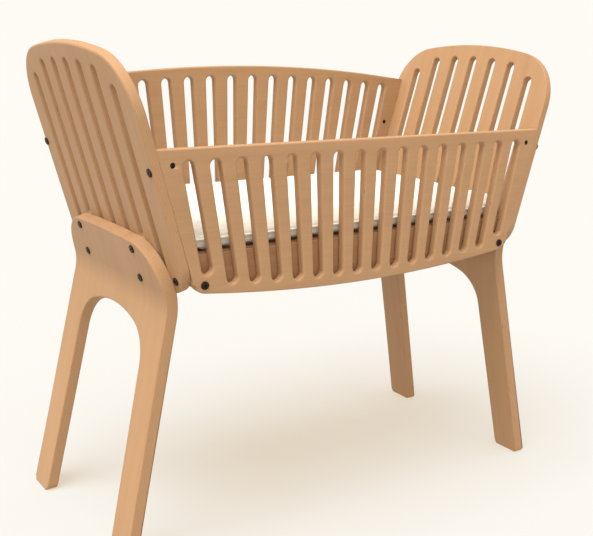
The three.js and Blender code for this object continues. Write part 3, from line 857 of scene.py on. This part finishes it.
def fit_copy(master, node, axis, place, twist):
    """A copy of master with its own mesh, its origin at place and its +Z turned to axis."""
    piece = bpy.data.objects.new(node + "_turned", master.data.copy())
    bpy.context.scene.collection.objects.link(piece)
    turn = Vector((0, 0, 1)).rotation_difference(axis).to_matrix().to_4x4()
    piece.data.transform(Matrix.Translation(place) @ turn @ Matrix.Rotation(twist, 4, "Z"))
    finish_piece(piece, "frame", node, bronze)


# %% [markdown]
# A bolt's master is made when the first bolt of its length comes, and the nuts share one master.
# The inserts are hidden in the wood, so their CAD nodes stay and only get the zinc.

# %% Make and place every bolt and nut
TWIST_STEP = 0.7
masters = {}
twist = 0.0
for node in sorted(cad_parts):
    if "_bolt" not in node and "barrel_nut" not in node:
        continue
    twist += TWIST_STEP
    axis = out_of_side(node) if "rail_bolt" in node or "nut" in node else out_of_end(node)
    if "nut_lower" in node:
        axis = -axis
    first, last, middle = span_along(node, axis)
    if "_bolt" in node:
        length = round(last - first - HEAD_HEIGHT, 5)
        if length not in masters:
            masters[length] = model_bolt("bolt_master", length)
        fit_copy(masters[length], node, axis, middle + axis * (last - HEAD_HEIGHT), twist)
    else:
        if "nut" not in masters:
            masters["nut"] = model_nut("nut_master", last - first)
        fit_copy(masters["nut"], node, axis, middle + axis * ((first + last) / 2), twist)
for master in masters.values():
    bpy.data.objects.remove(master, do_unlink=True)
for node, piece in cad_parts.items():
    if "insert" in node:
        piece.data.materials.clear()
        piece.data.materials.append(zinc)
print("fasteners of", len(masters), "kinds placed")

# %% [markdown]
# ## The mattress
# A foam pad in a cotton cover. The cover is sewn round its sides to a piped seam a little below
# the middle, so the sides belly out above and below the seam and the top is slightly crowned. The
# pad starts a little small, as a block with rounded corners, and is swollen by a short cloth
# simulation whose seam ring is held.

# %% Shape the pad before it is filled
SHRINK = 0.0022  # the pad starts this much smaller on each side
SEAM_RISE = 0.0225  # seam above the underside
CORNER_RADIUS = 0.034
TOP_RADIUS = 0.019
BOTTOM_RADIUS = 0.004
VOXEL = 0.005
LEVEL = 0.004  # edges this near a face of the CAD solid belong to that face's rim
mattress_low, mattress_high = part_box("mattress")
SEAM_Z = mattress_low.z + SEAM_RISE
pad_size = mattress_high - mattress_low - Vector((2, 2, 2)) * SHRINK
pad_middle = (mattress_low + mattress_high) / 2
bpy.ops.object.select_all(action="DESELECT")
bpy.ops.mesh.primitive_cube_add(size=1, location=pad_middle, scale=pad_size)
pad = bpy.context.object
pad.name = "mattress_cover"
keep_place(pad)


def bevel_edges(piece, test, radius, segments):
    """Bevels the edges whose two ends pass the test."""
    only(piece)
    bpy.ops.object.mode_set(mode="EDIT")
    bpy.ops.mesh.select_mode(type="EDGE")
    bpy.ops.mesh.select_all(action="DESELECT")
    bpy.ops.object.mode_set(mode="OBJECT")
    for edge in piece.data.edges:
        edge.select = test(*[piece.data.vertices[i].co for i in edge.vertices])
    bpy.ops.object.mode_set(mode="EDIT")
    bpy.ops.mesh.bevel(offset=radius, segments=segments, affect="EDGES")
    bpy.ops.object.mode_set(mode="OBJECT")


def level_at(height):
    """A test for edges that lie level near a height."""
    return lambda a, b: abs(a.z - height) < LEVEL and abs(b.z - height) < LEVEL


bevel_edges(pad, lambda a, b: abs(a.z - b.z) > pad_size.z / 2, CORNER_RADIUS, 8)
bevel_edges(pad, level_at(mattress_high.z), TOP_RADIUS, 6)
bevel_edges(pad, level_at(mattress_low.z), BOTTOM_RADIUS, 2)
apply_modifier(pad, "REMESH", mode="VOXEL", voxel_size=VOXEL)
print("pad of", len(pad.data.vertices), "points")

# %% [markdown]
# The ring of points nearest the seam is held, all others may swell. The underside rests on the
# board, so after the simulation nothing is left lower than the CAD solid's underside. No point
# has moved more than the room there is beside it and above it.

# %% Swell the pad
PRESSURE = 4.0
STIFFNESS = 12  # how hard the cover is to stretch or squeeze
SEAM_BAND = 0.0027  # points this near the seam's height are held
LAST_MOMENT = 20
ROOM_BESIDE = 0.0012
ROOM_ABOVE = 0.0050


def add_cloth(piece, pinned):
    """Gives a piece the Cloth modifier, with the points that pass the test held."""
    group = piece.vertex_groups.new(name="seam")
    group.add([v.index for v in piece.data.vertices if pinned(v.co)], 1.0, "REPLACE")
    cloth = piece.modifiers.new("Cloth", "CLOTH")
    cloth.settings.use_pressure = True
    cloth.settings.uniform_pressure_force = PRESSURE
    cloth.settings.vertex_group_mass = "seam"
    cloth.settings.effector_weights.gravity = 0
    cloth.settings.tension_stiffness = STIFFNESS
    cloth.settings.compression_stiffness = STIFFNESS
    cloth.settings.bending_stiffness = 0.6
    cloth.point_cache.frame_start = 1
    cloth.point_cache.frame_end = LAST_MOMENT
    return cloth


def swell(piece, pinned):
    """Runs the simulation, applies it, and keeps each point within the room there is."""
    start = [v.co.copy() for v in piece.data.vertices]
    cloth = add_cloth(piece, pinned)
    for moment in range(1, LAST_MOMENT + 1):
        bpy.context.scene.frame_set(moment)
    only(piece)
    bpy.ops.object.modifier_apply(modifier=cloth.name)
    bpy.context.scene.frame_set(1)
    widest, highest = 0.0, 0.0
    for vertex, before in zip(piece.data.vertices, start):
        step = vertex.co - before
        beside = Vector((step.x, step.y, 0))
        if beside.length > ROOM_BESIDE:
            beside *= ROOM_BESIDE / beside.length
        up = min(step.z, ROOM_ABOVE)
        vertex.co = before + beside + Vector((0, 0, up))
        vertex.co.z = max(vertex.co.z, mattress_low.z)
        widest = max(widest, beside.length)
        highest = max(highest, up)
    print(piece.name, "moved by", round(widest * 1000, 1), "mm beside and",
          round(highest * 1000, 1), "mm up")


swell(pad, lambda point: abs(point.z - SEAM_Z) < SEAM_BAND)
apply_modifier(pad, "SUBSURF", levels=1, render_levels=1)
only(pad)
bpy.ops.object.shade_smooth()

# %% [markdown]
# The piping is a thin cord sewn into the seam all the way round. Its path follows the pad's
# outline at the seam, so it is a closed curve with a round section, sunk a little into the cover
# and turned into a mesh.

# %% Sew the piping on
PIPING_RADIUS = 0.0023
PIPING_SINK = 0.0004
PIPING_POINTS = 260


def seam_points():
    """Points round the pad at the seam, just inside its surface."""
    points = []
    for i in range(PIPING_POINTS):
        turn = 2 * math.pi * i / PIPING_POINTS
        far = Vector((math.cos(turn) * pad_size.x, math.sin(turn) * pad_size.y, SEAM_Z))
        hit, where, normal, _ = pad.ray_cast(far, Vector((-far.x, -far.y, 0)).normalized())
        if hit:
            points.append(where - Vector((normal.x, normal.y, 0)).normalized() * PIPING_SINK)
    return points


def sew_piping(name):
    path = bpy.data.curves.new(name, "CURVE")
    path.dimensions = "3D"
    path.bevel_depth = PIPING_RADIUS
    path.bevel_resolution = 3
    points = seam_points()
    spline = path.splines.new("POLY")
    spline.points.add(len(points) - 1)
    for stitch, point in zip(spline.points, points):
        stitch.co = (*point, 1)
    spline.use_cyclic_u = True
    cord = bpy.data.objects.new(name, path)
    bpy.context.scene.collection.objects.link(cord)
    only(cord)
    bpy.ops.object.convert(target="MESH")
    bpy.ops.object.shade_smooth()
    return bpy.context.object


pipe = sew_piping("mattress_piping")
print("piping of", len(pipe.data.polygons), "faces")

# %% [markdown]
# The cover is undyed cotton in a fine plain weave. Two waves cross at right angles for the
# threads, a slow noise makes the soft puckers beside the seam, and the fibres give a little
# sheen.

# %% The cotton finish
THREAD_WAVE = 0.0011  # one thread over and one under
WEAVE_RELIEF = 0.00018


def cotton(name, tint, pucker):
    """A woven finish; pucker is how deep its soft waves are."""
    cloth = Finish(name, Roughness=0.92, Sheen_Weight=0.25, Sheen_Roughness=0.5, IOR=1.4)
    place = cloth.node("ShaderNodeTexCoord", output="Object")
    x, y, z = cloth.parts(place)
    normal = cloth.node("ShaderNodeNewGeometry", output="Normal")
    nx, ny, nz = [abs(part) for part in cloth.parts(normal)]
    thread = 2 * math.pi / THREAD_WAVE
    warp, weft, rise = (x * thread).sine(), (y * thread).sine(), (z * thread).sine()
    weave = warp * weft * nz + weft * rise * nx + warp * rise * ny
    slub = cloth.noise(cloth.stretched(place, 60.0, 900.0, 900.0), detail=2.0)
    soft = cloth.noise(cloth.stretched(place, 30.0, 30.0, 60.0), detail=3.0, roughness=0.5)
    colour = cloth.blend(soft * 0.5 + slub * 0.4, tint, [c * 0.88 for c in tint])
    fine = cloth.bump(weave * 0.5 + slub * 0.6, WEAVE_RELIEF, 0.5)
    waves = {"Height": soft, "Distance": pucker, "Normal": fine}
    cloth.feed(Base_Color=colour, Roughness=0.86 + soft * 0.1,
               Normal=cloth.node("ShaderNodeBump", {}, waves))
    print(name, "has", len(cloth.tree.nodes), "nodes")
    return cloth.material


cover_cotton = cotton("cotton_cover", (0.70, 0.66, 0.575), 0.003)
piping_cotton = cotton("cotton_piping", (0.76, 0.72, 0.64), 0.0008)
finish_piece(pad, "mattress", "mattress", cover_cotton)
pipe.data.materials.append(piping_cotton)
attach(pipe, "mattress")

# %% [markdown]
# ## The studio
# A pale floor that glows a little, as a lit table does, so shadows on it stay soft and warm. The
# surround has the floor's own tone.

# %% Floor and surround
SURROUND = (0.991, 0.965, 0.905)
FLOOR_GLOW = (0.665, 0.549, 0.412)
FLOOR_COLOUR = (0.129, 0.168, 0.207)
FLOOR_RADIUS = 40
FLOOR_DROP = 0.0005  # keeps the floor clear of the feet


def stage_floor():
    bpy.ops.object.select_all(action="DESELECT")
    bpy.ops.mesh.primitive_circle_add(vertices=96, radius=FLOOR_RADIUS, fill_type="NGON",
                                      location=(0, 0, -FLOOR_DROP))
    floor = bpy.context.object
    floor.name = "floor"
    glow = {"Emission_Color": (*FLOOR_GLOW, 1), "Emission_Strength": 1.0}
    paint = Finish("floor_paint", Roughness=1.0, Specular_IOR_Level=0.0, **glow)
    place = paint.node("ShaderNodeTexCoord", output="Object")
    mottle = paint.noise(place, scale=1.5, detail=2.0)
    mottled = paint.blend(mottle, FLOOR_COLOUR, [c * 0.99 for c in FLOOR_COLOUR])
    paint.feed(Base_Color=mottled)
    floor.data.materials.append(paint.material)


stage_floor()
world = bpy.data.worlds.new("surround")
bpy.context.scene.world = world
world.use_nodes = True
world.node_tree.nodes["Background"].inputs["Color"].default_value = (*SURROUND, 1)
world.node_tree.nodes["Background"].inputs["Strength"].default_value = 1.0
print("a floor", 2 * FLOOR_RADIUS, "m across and a surround of one tone")

# %% [markdown]
# One very broad light comes from overhead, a little from the left, and a weak one fills the
# shaded sides from the front and left.


# %% The two lights
def soft_sun(name, power, spread, toward, tint):
    """A broad light that comes evenly from one direction."""
    light = bpy.data.lights.new(name, "SUN")
    light.energy = power
    light.angle = math.radians(spread)
    light.color = tint
    lamp = bpy.data.objects.new(name, light)
    bpy.context.scene.collection.objects.link(lamp)
    lamp.rotation_euler = Vector(toward).to_track_quat("-Z", "Y").to_euler()
    print(name, "light of", power, "W/m2, spread over", spread, "degrees")


soft_sun("overhead", 5.1, 46, (0.34, 0.13, -0.93), (1.0, 0.985, 0.96))
soft_sun("fill", 0.6, 30, (0.62, 0.75, -0.22), (1.0, 0.97, 0.92))

# %% [markdown]
# The camera stands in front, to the left of the crib and above it. It looks down a little and is
# turned slightly about its own axis.

# %% Place the camera
EYE = (-1.1306, -1.6487, 0.9709)
HEADING = -34.57  # degrees, turned from looking straight back
LOOKS_DOWN = 14.28
TILTS_OVER = 1.465
lens = bpy.data.cameras.new("camera")
lens.sensor_width = 36
lens.lens = 57.52
lens.shift_x = -0.0015
lens.shift_y = 0.0014
camera = bpy.data.objects.new("camera", lens)
bpy.context.scene.collection.objects.link(camera)
heading = Matrix.Rotation(math.radians(HEADING), 4, "Z")
pitch = Matrix.Rotation(math.radians(90 - LOOKS_DOWN), 4, "X")
tilt = Matrix.Rotation(math.radians(TILTS_OVER), 4, "Z")
camera.matrix_world = Matrix.Translation(EYE) @ heading @ pitch @ tilt
bpy.context.scene.camera = camera
bpy.context.scene.view_settings.view_transform = "Standard"
print("the camera is", round(Vector(EYE).length, 2), "m from the floor under the crib's middle")
